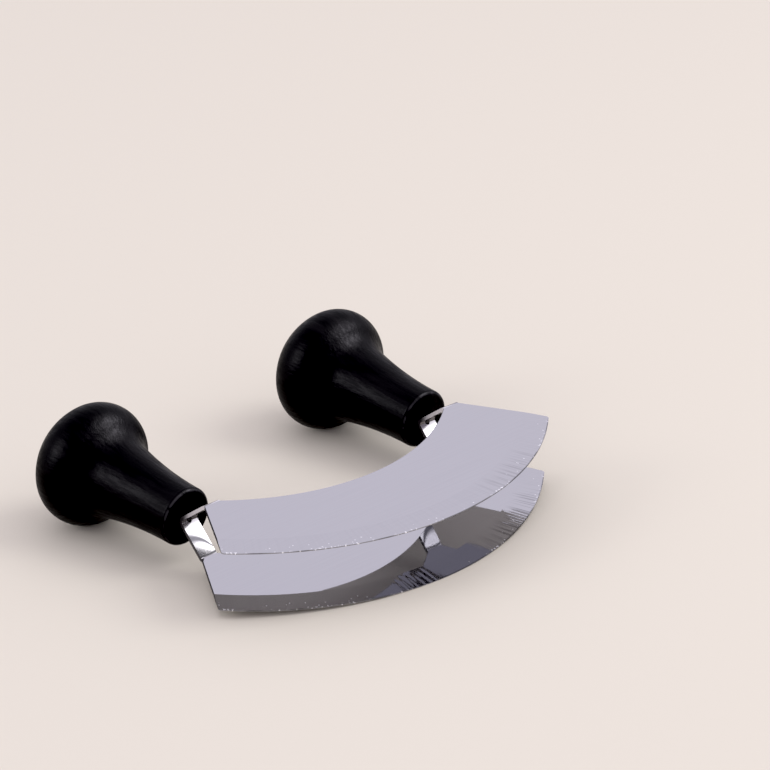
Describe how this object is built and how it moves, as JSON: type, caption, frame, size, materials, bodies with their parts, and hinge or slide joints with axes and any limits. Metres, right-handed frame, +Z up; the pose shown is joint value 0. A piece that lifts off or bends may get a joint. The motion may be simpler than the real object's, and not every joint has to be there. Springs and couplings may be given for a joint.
{
  "type": "mezzaluna",
  "caption": "Rocking herb knife with a pair of parallel crescent steel blades, bent strip brackets and upright turned wooden knob handles, shown lying on its side.",
  "frame": {"origin": "middle of the footprint, on the level plane that the knobs and the lower cutting edge touch", "axes": "+X along the chord of the blades, +Y from the cutting edges towards the knobs, +Z up from the plane that the knife lies on"},
  "size_m": [0.1522, 0.1302, 0.0427],
  "materials": {
    "blade_steel": "mirror polished stainless steel, ground band with fine cross lines at the cutting edge",
    "bracket_steel": "bright polished steel strip",
    "black_wood": "turned wood under satin black paint, faint grain",
    "screw_steel": "plain steel, darkened where it is welded"
  },
  "bodies": {
    "root": {"blade_upper": "blade_steel", "blade_lower": "blade_steel", "bracket_left": "bracket_steel", "bracket_right": "bracket_steel", "handle_left": "black_wood", "handle_right": "black_wood", "screw_left": "screw_steel", "screw_right": "screw_steel"}
  },
  "joints": []
}
